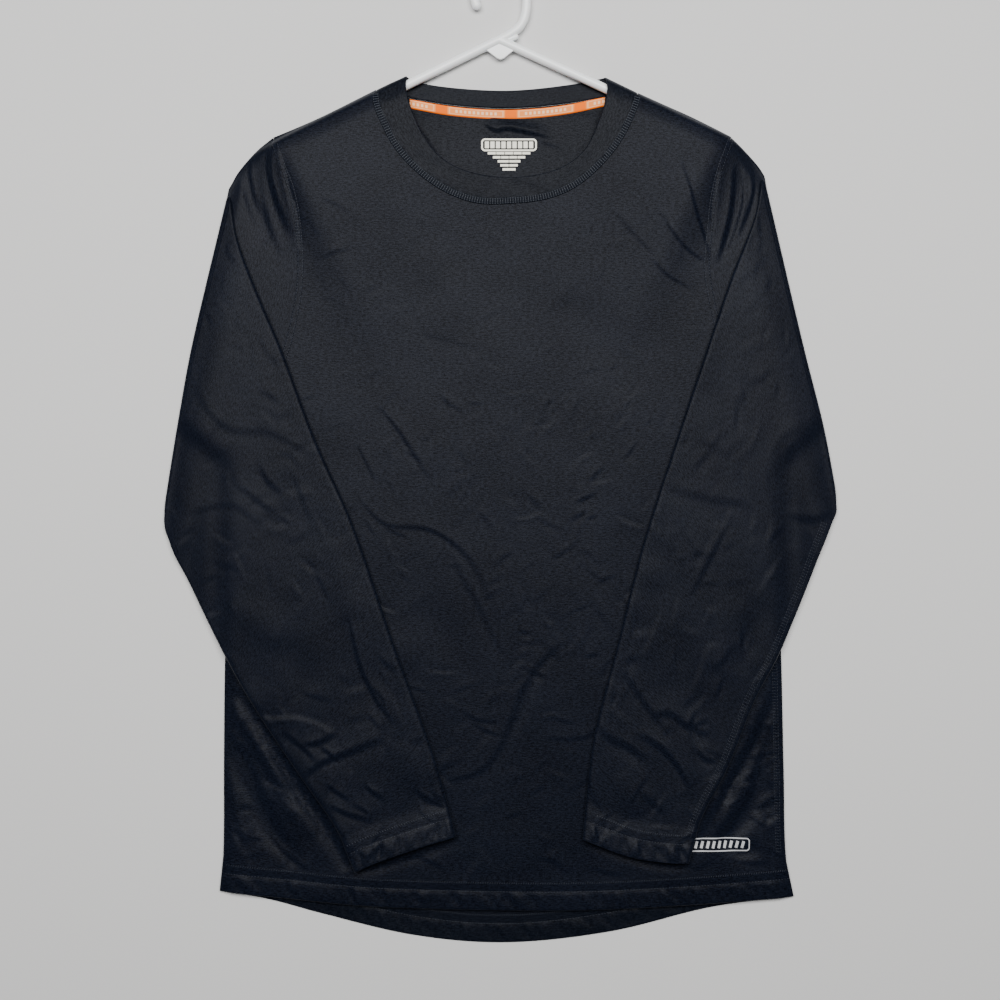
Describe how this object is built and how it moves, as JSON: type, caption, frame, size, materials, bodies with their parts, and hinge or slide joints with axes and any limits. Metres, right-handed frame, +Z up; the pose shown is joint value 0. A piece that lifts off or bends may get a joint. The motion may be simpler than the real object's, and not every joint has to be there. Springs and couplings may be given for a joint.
{
  "type": "base layer top on a hanger",
  "caption": "Long-sleeved crew-neck base layer top, laid flat with its sleeves turned onto the front, with a plain tubular hanger in its shoulders.",
  "frame": {"origin": "on the floor, in the middle of the outline of the top and its hanger", "axes": "+Z up from the surface that the top lies on, +Y from the hem to the neck, +X to the wearer's left"},
  "size_m": [0.595, 0.8606, 0.0127],
  "materials": {
    "knit": "fine near-black jersey with a faint slub and a soft sheen",
    "tape": null,
    "plastic": "smooth white moulded plastic"
  },
  "bodies": {
    "root": {"back": "knit", "front": "knit", "sleeve_right": "knit", "sleeve_left": "knit", "neckband": "knit", "neck_tape": "tape", "hanger": "plastic"}
  },
  "joints": []
}
